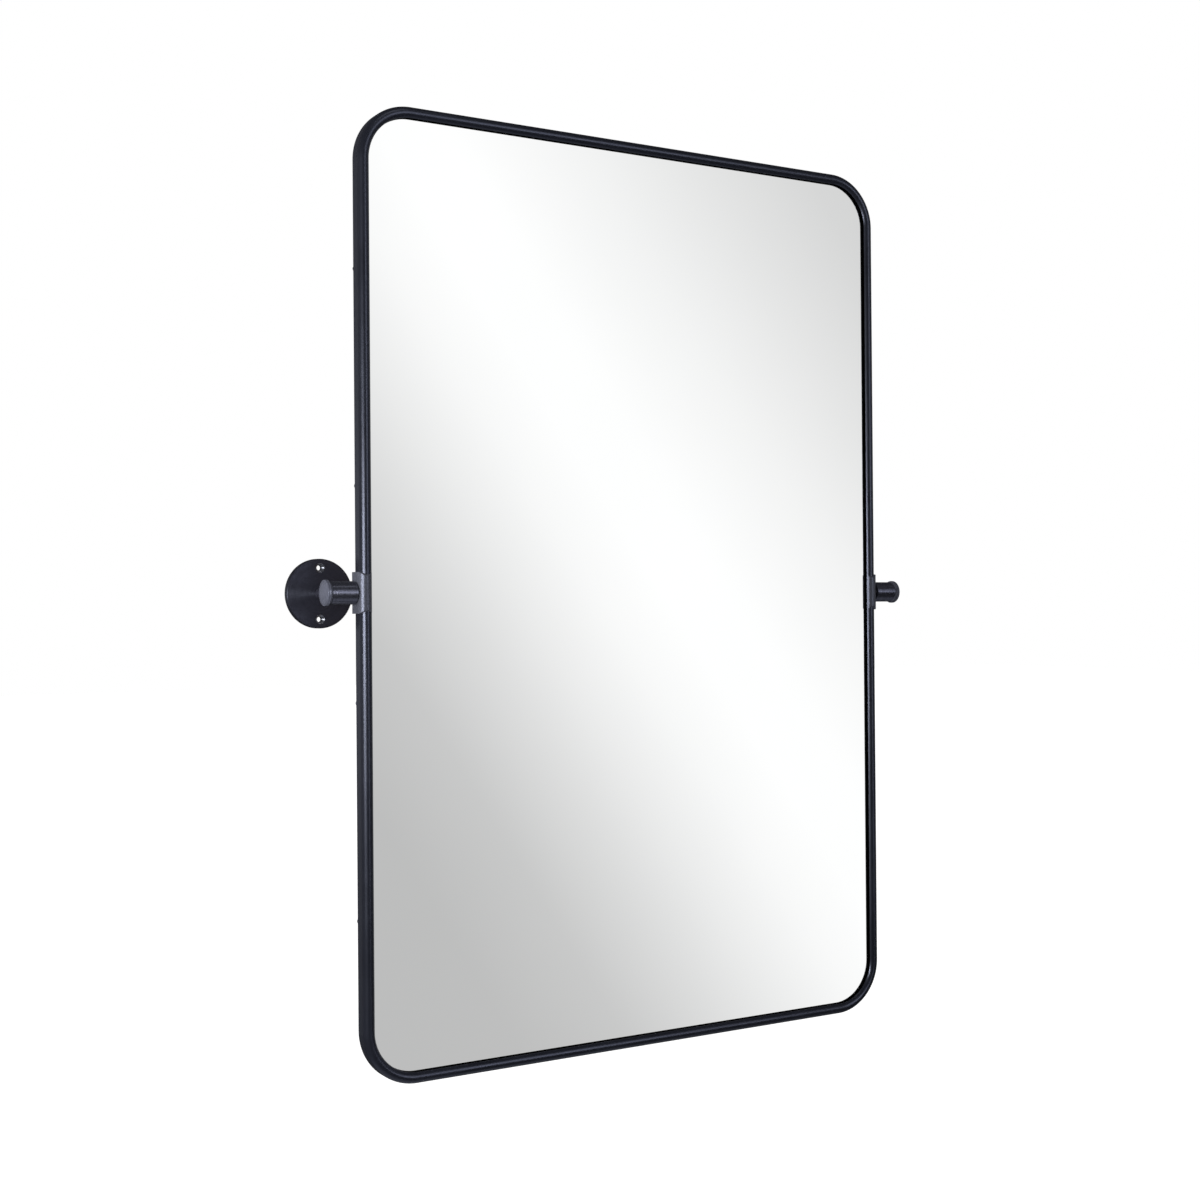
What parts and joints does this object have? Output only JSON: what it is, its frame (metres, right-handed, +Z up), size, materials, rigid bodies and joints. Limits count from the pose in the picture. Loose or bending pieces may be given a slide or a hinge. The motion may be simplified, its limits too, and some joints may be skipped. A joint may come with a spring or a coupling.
{
  "type": "pivot wall mirror",
  "caption": "Rectangular wall mirror in a thin black metal frame with round corners, tilting on side barrels that posts and round plates hold off the wall.",
  "frame": {"origin": "centre of the four wall screw holes, on the wall plane and level with the tilt axis", "axes": "+X right as seen from the room, +Y into the wall, +Z up; the glass faces -Y"},
  "size_m": [0.7064, 0.0721, 0.914],
  "materials": {
    "black_frame": "satin black powder coat with a faint blue cast",
    "silvered_glass": "polished float glass, silvered on the back",
    "foam_tape": "black closed-cell foam tape",
    "card_sheet": "brown corrugated card",
    "board": "smooth pressed fibreboard",
    "zinc_steel": "zinc-plated steel",
    "cast_black": "black over a slightly grainy casting",
    "black_screw": "black oxide",
    "bright_steel": "bright turned steel",
    "gunmetal": "dark gunmetal, finely turned",
    "turned_black": "satin black with faint lathe rings",
    "nylon": "natural nylon"
  },
  "bodies": {
    "wall_brackets": {"wall_plate_left": "turned_black", "wall_plate_right": "turned_black", "post_left": "turned_black", "post_right": "turned_black", "post_screw_left": "bright_steel", "post_screw_right": "bright_steel", "barrel_left": "gunmetal", "barrel_right": "gunmetal", "inner_bush_left": "nylon", "inner_bush_right": "nylon", "outer_bush_left": "nylon", "outer_bush_right": "nylon"},
    "mirror": {"frame": "black_frame", "glass": "silvered_glass", "glazing_tape": "foam_tape", "packing_sheet": "card_sheet", "backing_board": "board", "retaining_clips": "zinc_steel", "clip_screws": "zinc_steel", "saddle_left": "cast_black", "saddle_right": "cast_black", "saddle_screws_left": "black_screw", "saddle_screws_right": "black_screw", "pivot_pin_left": "bright_steel", "pivot_pin_right": "bright_steel", "thrust_washer_left": "bright_steel", "thrust_washer_right": "bright_steel", "disc_spring_left": "bright_steel", "disc_spring_right": "bright_steel"},
    "knob_left": {"tension_knob_left": "gunmetal"},
    "knob_right": {"tension_knob_right": "gunmetal"}
  },
  "joints": [
    {"name": "mirror_tilt", "type": "hinge", "parent": "wall_brackets", "child": "mirror", "pos_m": [0, -0.06, 0], "axis": [1, 0, 0], "range_deg": [-6, 6]},
    {"name": "knob_left_turn", "type": "hinge", "parent": "mirror", "child": "knob_left", "pos_m": [-0.337, -0.06, 0], "axis": [-1, 0, 0], "range_deg": [0, 360]},
    {"name": "knob_right_turn", "type": "hinge", "parent": "mirror", "child": "knob_right", "pos_m": [0.337, -0.06, 0], "axis": [1, 0, 0], "range_deg": [0, 360]}
  ]
}
